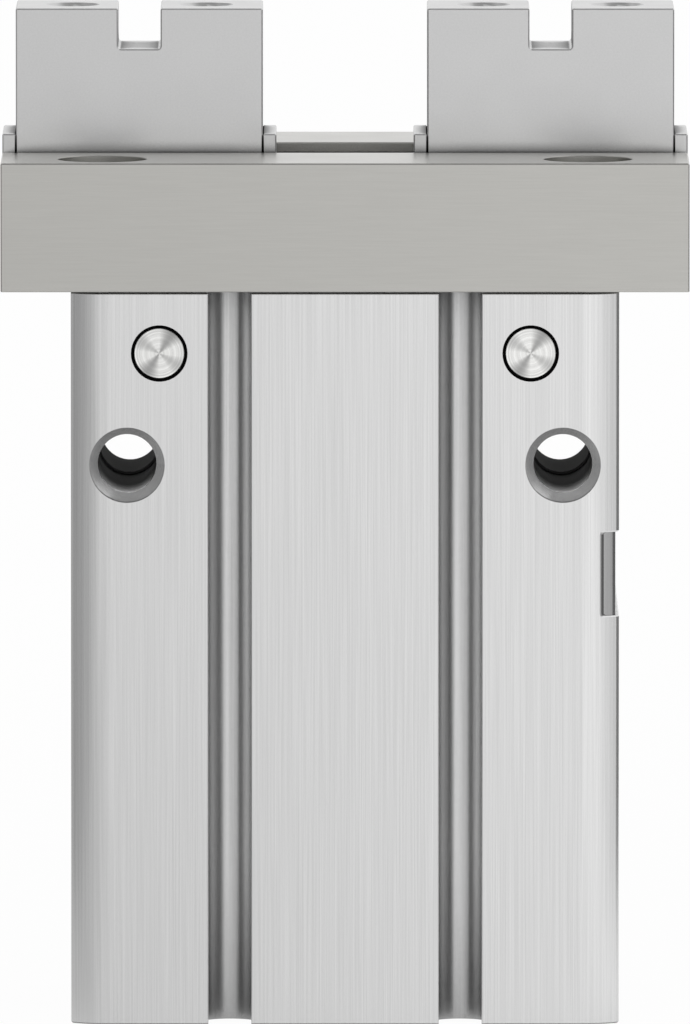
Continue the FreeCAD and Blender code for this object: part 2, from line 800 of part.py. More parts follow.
def end_cap():
    outer = cap_bore_radius - cap_fit
    groove = cap_bore_radius - cap_groove_depth
    middle = (ring_groove_top + cap_seat) / 2
    dish_top = ring_groove_top + cap_dish_depth
    blank = turned([
        (0, dish_top), (cap_dish_radius, dish_top), (cap_dish_radius + cap_dish_depth / 2, ring_groove_top),
        (outer, ring_groove_top), (outer, middle - cap_groove_width / 2),
        (groove, middle - cap_groove_width / 2), (groove, middle + cap_groove_width / 2),
        (outer, middle + cap_groove_width / 2), (outer, cap_seat), (0, cap_seat),
    ])
    pull = bored(cap_pull_core, cap_pull_core + edge_break, cap_pull_depth)
    return single(blank.cut(aimed(pull, Vector(0, 0, dish_top), Vector(0, 0, 1))))


def end_cap_seal():
    section = (cap_groove_depth - thread_gap) / 2
    middle = (ring_groove_top + cap_seat) / 2
    return Part.makeTorus(cap_bore_radius - cap_groove_depth / 2, section, Vector(0, 0, middle))


def retaining_ring():
    """Internal spring ring with two drilled lugs at its gap, on the right."""
    outer = cap_bore_radius + ring_groove_depth - ring_side_gap
    bottom = ring_groove_bottom + ring_side_gap
    top = bottom + ring_thickness
    hoop = ring(outer - ring_width, outer, bottom, top)
    half_gap = math.radians(ring_gap_angle / 2)
    reach = 2 * outer
    wedge = [Vector(0, 0, bottom - beyond)] + [
        Vector(reach * math.cos(half_gap), sign * reach * math.sin(half_gap), bottom - beyond)
        for sign in (-1, 1)
    ]
    gap = Part.Face(Part.makePolygon(wedge + wedge[:1])).extrude(Vector(0, 0, ring_thickness + 2 * beyond))
    hoop = hoop.cut(gap)
    lug_line = outer - ring_width
    lug_angle = half_gap + ring_lug_radius / lug_line
    for sign in (-1, 1):
        place = Vector(lug_line * math.cos(lug_angle), sign * lug_line * math.sin(lug_angle), bottom)
        hoop = hoop.fuse(Part.makeCylinder(ring_lug_radius, ring_thickness, place))
        hoop = hoop.cut(Part.makeCylinder(ring_lug_hole, ring_thickness, place))
    return single(hoop)


def bumper(bottom):
    return ring(bumper_inner, bumper_outer, bottom, bottom + bumper_thickness)


def gripper():
    nodes = {
        "body_housing": body_housing(),
        "guide_rail": guide_rail(),
        "guide_screws": guide_screws(),
        "pin_seal_rings": pin_seal_rings(),
        "rod_bush": ring(rod_radius + rod_fit, bush_radius, bush_bottom, well_bottom),
        "rod_seal": rod_seal(),
        "seal_retainer": ring(rod_radius + retainer_gap, rod_seal_radius, chamber_top,
                              chamber_top + retainer_thickness),
        "upper_bumper": bumper(chamber_top - bumper_thickness),
        "lower_bumper": bumper(cap_seat),
        "end_cap": end_cap(),
        "end_cap_seal": end_cap_seal(),
        "retaining_ring": retaining_ring(),
        "piston_rod": piston_rod(),
        "piston": piston(),
        "piston_seal": piston_seal(),
        "magnet_ring": magnet_ring(),
        "piston_screw": piston_screw(),
    }
    right_side = {
        "jaw": right_jaw(),
        "outer_cap": end_cap_plate(1),
        "inner_cap": end_cap_plate(-1),
        "cap_screws": cap_screws(),
        "ball_rows": ball_rows(),
        "lever": right_lever(),
        "pivot_pin": right_pivot_pin(),
    }
    for name, shape in right_side.items():
        nodes["right_" + name] = shape
        nodes["left_" + name] = mirrored(shape)
    return nodes


os.makedirs("parts", exist_ok=True)
for node, solid in gripper().items():
    solid.exportStep(f"parts/{node}.step")
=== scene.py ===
import json
import math
import bmesh
import bpy
from mathutils import Matrix, Vector


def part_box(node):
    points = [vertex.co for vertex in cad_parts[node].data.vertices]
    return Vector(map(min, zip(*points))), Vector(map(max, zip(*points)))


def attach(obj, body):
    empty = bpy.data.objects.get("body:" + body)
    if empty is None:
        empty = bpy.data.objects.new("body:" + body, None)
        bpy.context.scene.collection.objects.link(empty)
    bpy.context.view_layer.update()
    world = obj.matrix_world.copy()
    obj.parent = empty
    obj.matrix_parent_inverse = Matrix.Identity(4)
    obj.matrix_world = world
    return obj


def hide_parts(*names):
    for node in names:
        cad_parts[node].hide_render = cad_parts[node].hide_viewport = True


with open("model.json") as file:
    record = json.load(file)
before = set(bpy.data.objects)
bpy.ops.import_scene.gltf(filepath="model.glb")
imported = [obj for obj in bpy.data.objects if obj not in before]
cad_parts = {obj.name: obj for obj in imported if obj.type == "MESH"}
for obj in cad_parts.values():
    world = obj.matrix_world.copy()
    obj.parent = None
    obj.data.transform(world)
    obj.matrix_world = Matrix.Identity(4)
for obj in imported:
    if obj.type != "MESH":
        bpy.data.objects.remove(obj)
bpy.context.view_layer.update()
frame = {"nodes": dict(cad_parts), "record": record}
nodes = frame["nodes"]
mounts = {mount["name"]: mount for mount in frame["record"]["mounts"]}
scene = bpy.context.scene
scene.view_settings.view_transform = "Standard"
mm = 0.001
white = (1, 1, 1, 1)
black = (0, 0, 0, 1)
noiseSpan = {"From Min": 0.3, "From Max": 0.7}                  # the part of a noise's range that is used
falling = {"To Min": 1.0, "To Max": 0.0}                        # turns a rising value into a falling share
print("frame loaded:", len(nodes), "nodes")


def hexColour(code):
    parts = [int(code[i:i + 2], 16) / 255 for i in (1, 3, 5)]
    return tuple(c / 12.92 if c <= 0.04045 else ((c + 0.055) / 1.055) ** 2.4 for c in parts) + (1.0,)


# how often a pattern of these sizes in millimetres repeats in a metre
def perMm(*sizes):
    return tuple(1 / (size * mm) for size in sizes)


# adds one node, sets its properties, then its inputs as values or links
# in a Mix node 0 is the share, 2 and 3 are the numbers and 6 and 7 the colours that it mixes
def addNode(tree, kind, settings=None, inputs=None):
    node = tree.nodes.new(kind)
    for key, value in (settings or {}).items():
        setattr(node, key, value)
    for key, value in (inputs or {}).items():
        if isinstance(value, bpy.types.NodeSocket):
            tree.links.new(value, node.inputs[key])
        else:
            node.inputs[key].default_value = value
    return node


# a new material with its shader and its Object coordinates
def newMaterial(name):
    material = bpy.data.materials.new(name)
    material.use_nodes = True
    tree = material.node_tree
    place = addNode(tree, "ShaderNodeTexCoord").outputs["Object"]
    return material, tree, tree.nodes["Principled BSDF"], place


# sizes in millimetres; a bore's painted shade deepens over boreFront and fades again over boreRear, both
# along y
bodyFinish = {
    "light": "#EBEBEB", "dark": "#DDDDDD", "bored": "#E3E3E3", "recessDark": "#CACACA", "shadeTone": "#2E2E2E",
    "roughness": (0.20, 0.26), "hollowRoughness": 0.5,
    "drawnLine": (0.09, 0.09, 12.0), "drawnBand": (0.6, 0.6, 40.0), "bandShare": 0.35,
    "etch": 0.06, "markDepth": 0.0012, "markStrength": 0.5,
    "recessStart": 14.06, "recessMiddle": 24.9, "recessHalf": 2.32,
    "slotReach": 10.0, "slotOpen": (0.04, 0.30), "slotSamples": 6,
    "boreMargin": 0.001, "boreDark": 0.87, "boreFront": (-10.8, -5.5), "boreRear": (10.6, 11.0),
}


def anodisedAluminium():
    # drawn, etched and anodised: pale grey with a soft sheen and fine upright streaks; in its holes and
    # slots rougher and with painted shade
    v = bodyFinish
    material, tree, shader, place = newMaterial("satin_anodised_aluminium")
    lineSpace = addNode(tree, "ShaderNodeMapping", None, {"Vector": place, "Scale": perMm(*v["drawnLine"])})
    lines = addNode(tree, "ShaderNodeTexNoise", None,
                    {"Vector": lineSpace.outputs[0], "Scale": 1.0, "Detail": 3.0})
    bandSpace = addNode(tree, "ShaderNodeMapping", None, {"Vector": place, "Scale": perMm(*v["drawnBand"])})
    bands = addNode(tree, "ShaderNodeTexNoise", None,
                    {"Vector": bandSpace.outputs[0], "Scale": 1.0, "Detail": 2.0})
    etch = addNode(tree, "ShaderNodeTexNoise", None,            # twice its real size so that it shows
                   {"Vector": place, "Scale": perMm(v["etch"])[0], "Detail": 2.0})
    lineShare = addNode(tree, "ShaderNodeMapRange", None, {"Value": lines.outputs["Fac"], **noiseSpan})
    lineTone = addNode(tree, "ShaderNodeMix", {"data_type": "RGBA"},
                       {0: lineShare.outputs[0], 6: hexColour(v["dark"]), 7: hexColour(v["light"])})
    bandShare = addNode(tree, "ShaderNodeMapRange", None,
                        {"Value": bands.outputs["Fac"], **noiseSpan, "To Max": v["bandShare"]})
    bandTone = addNode(tree, "ShaderNodeMix", {"data_type": "RGBA"},
                       {0: bandShare.outputs[0], 6: lineTone.outputs[2], 7: hexColour(v["dark"])})

    # the through holes were bored after the drawing; their walls get a darker tone, which is painted shade
    holes = mounts["front_mount_holes"]
    holeAxis = (holes["dims"]["spacing_x_mm"] / 2 * mm, 0, holes["pos_m"][2])
    parts = addNode(tree, "ShaderNodeSeparateXYZ", None, {0: place})
    sideways = addNode(tree, "ShaderNodeMath", {"operation": "ABSOLUTE"}, {0: parts.outputs[0]})
    inHole = addNode(tree, "ShaderNodeCombineXYZ", None, {0: sideways.outputs[0], 2: parts.outputs[2]})
    fromAxis = addNode(tree, "ShaderNodeVectorMath", {"operation": "DISTANCE"},
                       {0: inHole.outputs[0], 1: holeAxis})
    bored = addNode(tree, "ShaderNodeMath", {"operation": "LESS_THAN"},
                    {0: fromAxis.outputs["Value"], 1: (holes["dims"]["hole_r_mm"] + v["boreMargin"]) * mm})

    # the side recess is given a darker tone
    atSide = addNode(tree, "ShaderNodeMath", {"operation": "GREATER_THAN"},
                     {0: parts.outputs[0], 1: v["recessStart"] * mm})
    atHeight = addNode(tree, "ShaderNodeMath", {"operation": "COMPARE"},
                       {0: parts.outputs[2], 1: v["recessMiddle"] * mm, 2: v["recessHalf"] * mm})
    recessDark = addNode(tree, "ShaderNodeMath", {"operation": "MULTIPLY"},
                     {0: atSide.outputs[0], 1: atHeight.outputs[0]})
    recessTone = addNode(tree, "ShaderNodeMix", {"data_type": "RGBA", "blend_type": "MULTIPLY"},
                         {0: recessDark.outputs[0], 6: bandTone.outputs[2], 7: hexColour(v["recessDark"])})
    skinTone = addNode(tree, "ShaderNodeMix", {"data_type": "RGBA", "blend_type": "MULTIPLY"},
                       {0: bored.outputs[0], 6: recessTone.outputs[2], 7: hexColour(v["bored"])})

    # painted shade: slots darken where they are closed in, bores with their depth, in tone and in
    # reflections
    hollow = addNode(tree, "ShaderNodeAmbientOcclusion", {"samples": v["slotSamples"]},
                     {"Distance": v["slotReach"] * mm})
    slotShadeShare = addNode(tree, "ShaderNodeMapRange", None,
                        {"Value": hollow.outputs["AO"], "From Min": v["slotOpen"][0],
                         "From Max": v["slotOpen"][1], **falling})
    frontShare = addNode(tree, "ShaderNodeMapRange", None,
                         {"Value": parts.outputs[1], "From Min": v["boreFront"][0] * mm,
                          "From Max": v["boreFront"][1] * mm, "To Max": v["boreDark"]})
    rearShare = addNode(tree, "ShaderNodeMapRange", None,
                        {"Value": parts.outputs[1], "From Min": v["boreRear"][0] * mm,
                         "From Max": v["boreRear"][1] * mm, **falling})
    boreShadeShare = addNode(tree, "ShaderNodeMath", {"operation": "MULTIPLY"},
                        {0: frontShare.outputs[0], 1: rearShare.outputs[0]})
    shadeShare = addNode(tree, "ShaderNodeMix", None,
                          {0: bored.outputs[0], 2: slotShadeShare.outputs[0], 3: boreShadeShare.outputs[0]})
    tone = addNode(tree, "ShaderNodeMix", {"data_type": "RGBA"},
                   {0: shadeShare.outputs[0], 6: skinTone.outputs[2], 7: hexColour(v["shadeTone"])})
    reflectionShade = addNode(tree, "ShaderNodeMix", {"data_type": "RGBA"},
                    {0: shadeShare.outputs[0], 6: white, 7: hexColour(v["shadeTone"])})
    rough = addNode(tree, "ShaderNodeMapRange", None,
                    {"Value": bands.outputs["Fac"], **noiseSpan,
                     "To Min": v["roughness"][0], "To Max": v["roughness"][1]})
    dull = addNode(tree, "ShaderNodeMix", None,
                   {0: shadeShare.outputs[0], 2: rough.outputs[0], 3: v["hollowRoughness"]})
    lineBump = addNode(tree, "ShaderNodeBump", None,
                       {"Height": lines.outputs["Fac"], "Distance": v["markDepth"] * mm,
                        "Strength": v["markStrength"]})
    etchBump = addNode(tree, "ShaderNodeBump", None,
                       {"Height": etch.outputs["Fac"], "Distance": v["markDepth"] * mm,
                        "Strength": v["markStrength"], "Normal": lineBump.outputs[0]})
    tree.links.new(tone.outputs[2], shader.inputs["Base Color"])
    tree.links.new(reflectionShade.outputs[2], shader.inputs["Specular Tint"])
    tree.links.new(dull.outputs[0], shader.inputs["Roughness"])
    tree.links.new(etchBump.outputs[0], shader.inputs["Normal"])
    shader.inputs["Metallic"].default_value = 1.0
    return material


guideFinish = {
    "light": "#C2C1BD", "dark": "#BEBDB9", "shadeTone": "#232322", "roughness": (0.29, 0.33),
    "grind": (2.5, 0.07, 0.07), "cloud": 3.0, "markDepth": 0.001, "markStrength": 0.4,
    "hollowReach": 10.0, "hollowOpen": (0.06, 0.24), "hollowSamples": 6,
}


def groundSteel():
    # hardened steel, ground and given a thin matt coat: an even warm grey with a very fine lengthwise grind
    v = guideFinish
    material, tree, shader, place = newMaterial("fine_ground_steel")
    grindSpace = addNode(tree, "ShaderNodeMapping", None,       # coarser than real so that the lines show
                         {"Vector": place, "Scale": perMm(*v["grind"])})
    grind = addNode(tree, "ShaderNodeTexNoise", None,
                    {"Vector": grindSpace.outputs[0], "Scale": 1.0, "Detail": 3.0})
    cloud = addNode(tree, "ShaderNodeTexNoise", None,
                    {"Vector": place, "Scale": perMm(v["cloud"])[0], "Detail": 2.0})
    grindShare = addNode(tree, "ShaderNodeMapRange", None, {"Value": grind.outputs["Fac"], **noiseSpan})
    grindTone = addNode(tree, "ShaderNodeMix", {"data_type": "RGBA"},
                        {0: grindShare.outputs[0], 6: hexColour(v["dark"]), 7: hexColour(v["light"])})
    # painted shade: darker tone and darker reflections where the steel is closed in
    hollow = addNode(tree, "ShaderNodeAmbientOcclusion", {"samples": v["hollowSamples"]},
                     {"Distance": v["hollowReach"] * mm})
    shadeShare = addNode(tree, "ShaderNodeMapRange", None,
                          {"Value": hollow.outputs["AO"], "From Min": v["hollowOpen"][0],
                           "From Max": v["hollowOpen"][1], **falling})
    tone = addNode(tree, "ShaderNodeMix", {"data_type": "RGBA"},
                   {0: shadeShare.outputs[0], 6: grindTone.outputs[2], 7: hexColour(v["shadeTone"])})
    reflectionShade = addNode(tree, "ShaderNodeMix", {"data_type": "RGBA"},
                    {0: shadeShare.outputs[0], 6: white, 7: hexColour(v["shadeTone"])})
    rough = addNode(tree, "ShaderNodeMapRange", None,
                    {"Value": cloud.outputs["Fac"], **noiseSpan,
                     "To Min": v["roughness"][0], "To Max": v["roughness"][1]})
    bump = addNode(tree, "ShaderNodeBump", None,
                   {"Height": grind.outputs["Fac"], "Distance": v["markDepth"] * mm,
                    "Strength": v["markStrength"]})
    tree.links.new(tone.outputs[2], shader.inputs["Base Color"])
    tree.links.new(reflectionShade.outputs[2], shader.inputs["Specular Tint"])
    tree.links.new(rough.outputs[0], shader.inputs["Roughness"])
    tree.links.new(bump.outputs[0], shader.inputs["Normal"])
    shader.inputs["Metallic"].default_value = 1.0
    return material


jawFinish = {
    "light": "#D2D2D2", "dark": "#CDCDCD", "shadeTone": "#1C1C1C", "roughness": (0.30, 0.35),
    "pit": 0.1, "cloud": 2.2, "markDepth": 0.0012, "markStrength": 0.4,
    "hollowReach": 2.4, "hollowOpen": (0.44, 0.66), "hollowSamples": 32,    # fewer leave the tops noisy
}


def jawSteel():
    # stainless steel, fine ground and lightly blasted: neutral grey, softly reflecting, with a faint grain
    v = jawFinish
    material, tree, shader, place = newMaterial("blasted_stainless_steel")
    pits = addNode(tree, "ShaderNodeTexNoise", None,            # blast pits, drawn coarse enough to show
                   {"Vector": place, "Scale": perMm(v["pit"])[0], "Detail": 3.0})
    cloud = addNode(tree, "ShaderNodeTexNoise", None,
                    {"Vector": place, "Scale": perMm(v["cloud"])[0], "Detail": 2.0})
    pitShare = addNode(tree, "ShaderNodeMapRange", None, {"Value": pits.outputs["Fac"], **noiseSpan})
    pitTone = addNode(tree, "ShaderNodeMix", {"data_type": "RGBA"},
                      {0: pitShare.outputs[0], 6: hexColour(v["dark"]), 7: hexColour(v["light"])})
    # painted shade: darker tone and darker reflections in the holes and next to other parts, where the jaw
    # is closed in
    hollow = addNode(tree, "ShaderNodeAmbientOcclusion", {"samples": v["hollowSamples"]},
                     {"Distance": v["hollowReach"] * mm})
    shadeShare = addNode(tree, "ShaderNodeMapRange", None,
                          {"Value": hollow.outputs["AO"], "From Min": v["hollowOpen"][0],
                           "From Max": v["hollowOpen"][1], **falling})
    tone = addNode(tree, "ShaderNodeMix", {"data_type": "RGBA"},
                   {0: shadeShare.outputs[0], 6: pitTone.outputs[2], 7: hexColour(v["shadeTone"])})
    reflectionShade = addNode(tree, "ShaderNodeMix", {"data_type": "RGBA"},
                    {0: shadeShare.outputs[0], 6: white, 7: hexColour(v["shadeTone"])})
    rough = addNode(tree, "ShaderNodeMapRange", None,
                    {"Value": cloud.outputs["Fac"], **noiseSpan,
                     "To Min": v["roughness"][0], "To Max": v["roughness"][1]})
    bump = addNode(tree, "ShaderNodeBump", None,
                   {"Height": pits.outputs["Fac"], "Distance": v["markDepth"] * mm,
                    "Strength": v["markStrength"]})
    tree.links.new(tone.outputs[2], shader.inputs["Base Color"])
    tree.links.new(reflectionShade.outputs[2], shader.inputs["Specular Tint"])
    tree.links.new(rough.outputs[0], shader.inputs["Roughness"])
    tree.links.new(bump.outputs[0], shader.inputs["Normal"])
    shader.inputs["Metallic"].default_value = 1.0
    return material


# metals of the inside and the fasteners: two tones, a roughness range and the size of the tool marks
plainMetals = {
    "bearing_steel": {"name": "polished_bearing_steel", "light": "#D2D3D4", "dark": "#C8C9CA",
                      "roughness": (0.05, 0.10), "marks": (0.5, 0.5, 0.5)},
    "screw_steel": {"name": "rolled_stainless_steel", "light": "#B4B3B0", "dark": "#A4A3A0",
                    "roughness": (0.26, 0.36), "marks": (0.12, 0.12, 0.12)},
    "spring_steel": {"name": "phosphated_spring_steel", "light": "#4A4947", "dark": "#3B3A39",
                     "roughness": (0.42, 0.55), "marks": (0.1, 0.1, 0.1)},
    "lever_steel": {"name": "hardened_tool_steel", "light": "#8F8E8C", "dark": "#7F7E7D",
                    "roughness": (0.30, 0.42), "marks": (0.5, 0.08, 0.08)},
    "machined_aluminium": {"name": "turned_aluminium", "light": "#C9CACB", "dark": "#BCBDBE",
                           "roughness": (0.28, 0.38), "marks": (0.4, 0.4, 0.07)},
    "bronze": {"name": "sintered_bronze", "light": "#B08A57", "dark": "#97703F",
               "roughness": (0.34, 0.46), "marks": (0.12, 0.12, 0.12)},
}
plainMarks = {"depth": 0.001, "strength": 0.35}


def plainMetal(slotName):
    # bare metal as its tool left it: small changes of tone and fine marks that break up the reflections
    v = plainMetals[slotName]
    material, tree, shader, place = newMaterial(v["name"])
    markSpace = addNode(tree, "ShaderNodeMapping", None, {"Vector": place, "Scale": perMm(*v["marks"])})
    marks = addNode(tree, "ShaderNodeTexNoise", None,
                    {"Vector": markSpace.outputs[0], "Scale": 1.0, "Detail": 3.0})
    share = addNode(tree, "ShaderNodeMapRange", None, {"Value": marks.outputs["Fac"], **noiseSpan})
    tone = addNode(tree, "ShaderNodeMix", {"data_type": "RGBA"},
                   {0: share.outputs[0], 6: hexColour(v["dark"]), 7: hexColour(v["light"])})
    rough = addNode(tree, "ShaderNodeMapRange", None,
                    {"Value": marks.outputs["Fac"], **noiseSpan,
                     "To Min": v["roughness"][0], "To Max": v["roughness"][1]})
    bump = addNode(tree, "ShaderNodeBump", None,
                   {"Height": marks.outputs["Fac"], "Distance": plainMarks["depth"] * mm,
                    "Strength": plainMarks["strength"]})
    tree.links.new(tone.outputs[2], shader.inputs["Base Color"])
    tree.links.new(rough.outputs[0], shader.inputs["Roughness"])
    tree.links.new(bump.outputs[0], shader.inputs["Normal"])
    shader.inputs["Metallic"].default_value = 1.0
    return material


softBlacks = {
    "black_rubber": {"name": "moulded_nitrile_rubber", "light": "#040404", "dark": "#010101",
                     "roughness": (0.65, 0.78), "skin": 0.06, "gloss": 0.03},
    "magnet": {"name": "sintered_magnet", "light": "#2B2B2C", "dark": "#202021",
               "roughness": (0.48, 0.62), "skin": 0.05, "gloss": 0.3},
}
softMarks = {"depth": 0.002, "strength": 0.5}


def softBlack(slotName):
    # moulded rubber or pressed powder: near black and dull, with a fine skin
    v = softBlacks[slotName]
    material, tree, shader, place = newMaterial(v["name"])
    skin = addNode(tree, "ShaderNodeTexNoise", None,
                   {"Vector": place, "Scale": perMm(v["skin"])[0], "Detail": 3.0})
    share = addNode(tree, "ShaderNodeMapRange", None, {"Value": skin.outputs["Fac"], **noiseSpan})
    tone = addNode(tree, "ShaderNodeMix", {"data_type": "RGBA"},
                   {0: share.outputs[0], 6: hexColour(v["dark"]), 7: hexColour(v["light"])})
    rough = addNode(tree, "ShaderNodeMapRange", None,
                    {"Value": skin.outputs["Fac"], **noiseSpan,
                     "To Min": v["roughness"][0], "To Max": v["roughness"][1]})
    bump = addNode(tree, "ShaderNodeBump", None,
                   {"Height": skin.outputs["Fac"], "Distance": softMarks["depth"] * mm,
                    "Strength": softMarks["strength"]})
    tree.links.new(tone.outputs[2], shader.inputs["Base Color"])
    tree.links.new(rough.outputs[0], shader.inputs["Roughness"])
    tree.links.new(bump.outputs[0], shader.inputs["Normal"])
    shader.inputs["Specular IOR Level"].default_value = v["gloss"]
    return material


# the pin's fan is a painted reflection, bright between its dark arms; uneven makes two of the four dark
# arms stronger than the others
pinFinish = {
    "light": "#FFFFFD", "paintedArms": "#B0B0AF", "ringDark": "#8C8C8B", "roughness": 0.22,
    "fanTurn": 12.0, "uneven": 0.35, "fanBright": 0.5,
    "ring": 0.16, "ringShare": 0.34, "markDepth": 0.002, "markStrength": 0.5,
}


def turnedSteel(name, centre):
    # a faced steel pin: bright, with fine rings round its axis and a painted four-armed fan of reflected
    # light across them
    v = pinFinish
    material, tree, shader, place = newMaterial(name)
    middle = addNode(tree, "ShaderNodeMapping", {"vector_type": "TEXTURE"},
                     {"Vector": place, "Location": (centre.x, 0.0, centre.z),
                      "Rotation": (0.0, -math.radians(v["fanTurn"]), 0.0)})
    parts = addNode(tree, "ShaderNodeSeparateXYZ", None, {0: middle.outputs[0]})
    flat = addNode(tree, "ShaderNodeCombineXYZ", None, {0: parts.outputs[0], 2: parts.outputs[2]})
    radius = addNode(tree, "ShaderNodeVectorMath", {"operation": "LENGTH"}, {0: flat.outputs[0]})
    rings = addNode(tree, "ShaderNodeTexNoise", {"noise_dimensions": "1D"},
                    {"W": radius.outputs["Value"], "Scale": perMm(v["ring"])[0], "Detail": 2.0})
    angle = addNode(tree, "ShaderNodeMath", {"operation": "ARCTAN2"},
                    {0: parts.outputs[2], 1: parts.outputs[0]})
    fourfold = addNode(tree, "ShaderNodeMath", {"operation": "MULTIPLY"}, {0: angle.outputs[0], 1: 4.0})
    fourArms = addNode(tree, "ShaderNodeMath", {"operation": "COSINE"}, {0: fourfold.outputs[0]})
    twofold = addNode(tree, "ShaderNodeMath", {"operation": "MULTIPLY"}, {0: angle.outputs[0], 1: 2.0})
    twoArms = addNode(tree, "ShaderNodeMath", {"operation": "SINE"}, {0: twofold.outputs[0]})
    paintedFan = addNode(tree, "ShaderNodeMath", {"operation": "MULTIPLY_ADD"},
                  {0: twoArms.outputs[0], 1: -v["uneven"], 2: fourArms.outputs[0]})
    paintedFanShare = addNode(tree, "ShaderNodeMapRange", None,
                       {"Value": paintedFan.outputs[0], "From Min": -1.0 - v["uneven"],
                        "From Max": v["fanBright"]})
    paintedFanTone = addNode(tree, "ShaderNodeMix", {"data_type": "RGBA"},
                      {0: paintedFanShare.outputs[0], 6: hexColour(v["paintedArms"]), 7: hexColour(v["light"])})
    ringShare = addNode(tree, "ShaderNodeMapRange", None,
                        {"Value": rings.outputs["Fac"], **noiseSpan, "To Max": v["ringShare"]})
    tone = addNode(tree, "ShaderNodeMix", {"data_type": "RGBA"},
                   {0: ringShare.outputs[0], 6: paintedFanTone.outputs[2], 7: hexColour(v["ringDark"])})
    bump = addNode(tree, "ShaderNodeBump", None,
                   {"Height": rings.outputs["Fac"], "Distance": v["markDepth"] * mm,
                    "Strength": v["markStrength"]})
    tree.links.new(tone.outputs[2], shader.inputs["Base Color"])
    tree.links.new(bump.outputs[0], shader.inputs["Normal"])
    shader.inputs["Metallic"].default_value = 1.0
    shader.inputs["Roughness"].default_value = v["roughness"]
    return material


finishes = {
    "anodised_aluminium": anodisedAluminium(),
    "ground_steel": groundSteel(),
    "jaw_steel": jawSteel(),
}
for slotName in plainMetals:
    finishes[slotName] = plainMetal(slotName)
for slotName in softBlacks:
    finishes[slotName] = softBlack(slotName)
for nodeName, node in nodes.items():
    for index, old in enumerate(node.data.materials):
        slotName = old.name.split(".")[0]
        if slotName == "turned_steel":                          # each pin's fan has its own middle
            low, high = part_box(nodeName)
            finishes[nodeName] = turnedSteel(nodeName + "_faced_steel", (low + high) / 2)
            slotName = nodeName
        node.data.materials[index] = finishes[slotName]
print("finishes:", len(finishes))


# turns a finished bmesh into a piece that rides on a body
def finishPiece(name, shape, finish, body, sharpAngle=30.0):
    mesh = bpy.data.meshes.new(name)
    shape.to_mesh(mesh)
    shape.free()
    for face in mesh.polygons:
        face.use_smooth = True
    mesh.set_sharp_from_angle(angle=math.radians(sharpAngle))
    mesh.materials.append(finish)
    piece = bpy.data.objects.new(name, mesh)
    scene.collection.objects.link(piece)
    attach(piece, body)
    return piece


pinShape = {"grooves": 8, "grooveDepth": 0.009, "rim": 0.04, "weld": 0.0001, "steps": 128}


def facedPin(nodeName):
    # one profile from the middle of the front face, over grooves and rims, to the middle of the rear face
    v = pinShape
    low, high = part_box(nodeName)
    centre = (low + high) / 2
    radius = (high.x - low.x) / 2
    rim = v["rim"] * mm
    points = 2 * v["grooves"]
    half = [(0.0, 0.0)]
    for i in range(1, points + 1):
        half.append((i / points * (radius - rim), v["grooveDepth"] * mm * (i % 2)))
    half.append((radius, rim))
    line = [(r, low.y + depth) for r, depth in half]
    line += [(r, high.y - depth) for r, depth in reversed(half)]
    shape = bmesh.new()
    verts = [shape.verts.new((centre.x + r, y, centre.z)) for r, y in line]
    for first, second in zip(verts, verts[1:]):
        shape.edges.new((first, second))
    bmesh.ops.spin(shape, geom=shape.verts[:] + shape.edges[:], cent=centre, axis=(0, 1, 0),
                   angle=math.tau, steps=v["steps"], use_merge=True)
    bmesh.ops.remove_doubles(shape, verts=shape.verts, dist=v["weld"] * mm)
    bmesh.ops.recalc_face_normals(shape, faces=shape.faces)
    pin = finishPiece(nodeName + "_faced", shape, finishes[nodeName], "housing")
    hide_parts(nodeName)


for nodeName in ("left_pivot_pin", "right_pivot_pin"):
    facedPin(nodeName)
print("pins faced")

# cut threads, at the places that the record gives for the holes; sizes in millimetres
threads = {
    "left_jaw_holes": {"pitch": 0.5, "start": 0.3, "length": 5.4,
                       "body": "left_jaw_group", "slot": "jaw_steel"},
    "right_jaw_holes": {"pitch": 0.5, "start": 0.3, "length": 5.4,
                        "body": "right_jaw_group", "slot": "jaw_steel"},
    "base_mount_holes": {"pitch": 0.7, "start": 0.5, "length": 5.0,
                         "body": "housing", "slot": "anodised_aluminium"},
    "lower_air_port": {"pitch": 0.8, "start": -2.2, "length": 4.2,
                       "body": "housing", "slot": "anodised_aluminium"},
    "upper_air_port": {"pitch": 0.8, "start": -2.2, "length": 4.2,
                       "body": "housing", "slot": "anodised_aluminium"},
}
# height and half width of a ridge as shares of the pitch, and how far its feet sink into the wall
ridgeShape = {"height": 0.22, "halfWidth": 0.40, "sink": 0.03, "stepsPerTurn": 36}


def cutThread(name, place, radius):
    # a three-sided ridge wound down the hole, its feet a little inside the wall
    v = threads[name]
    ridge = ridgeShape
    way = -Vector(mounts[name]["axis"])
    out = Vector((0, 1, 0))
    start = place + way * v["start"] * mm
    crest = radius - ridge["height"] * v["pitch"] * mm
    foot = radius + ridge["sink"] * mm
    width = ridge["halfWidth"] * v["pitch"] * mm
    shape = bmesh.new()
    corners = [shape.verts.new(start + out * foot - way * width), shape.verts.new(start + out * crest),
               shape.verts.new(start + out * foot + way * width)]
    edges = [shape.edges.new((corners[i], corners[(i + 1) % 3])) for i in range(3)]
    turns = v["length"] / v["pitch"]
    steps = round(turns * ridge["stepsPerTurn"])
    bmesh.ops.spin(shape, geom=corners + edges, cent=start, axis=way,
                   dvec=way * (v["length"] * mm / steps), angle=math.tau * turns, steps=steps)
    bmesh.ops.holes_fill(shape, edges=[edge for edge in shape.edges if edge.is_boundary], sides=4)
    bmesh.ops.recalc_face_normals(shape, faces=shape.faces)
    return shape


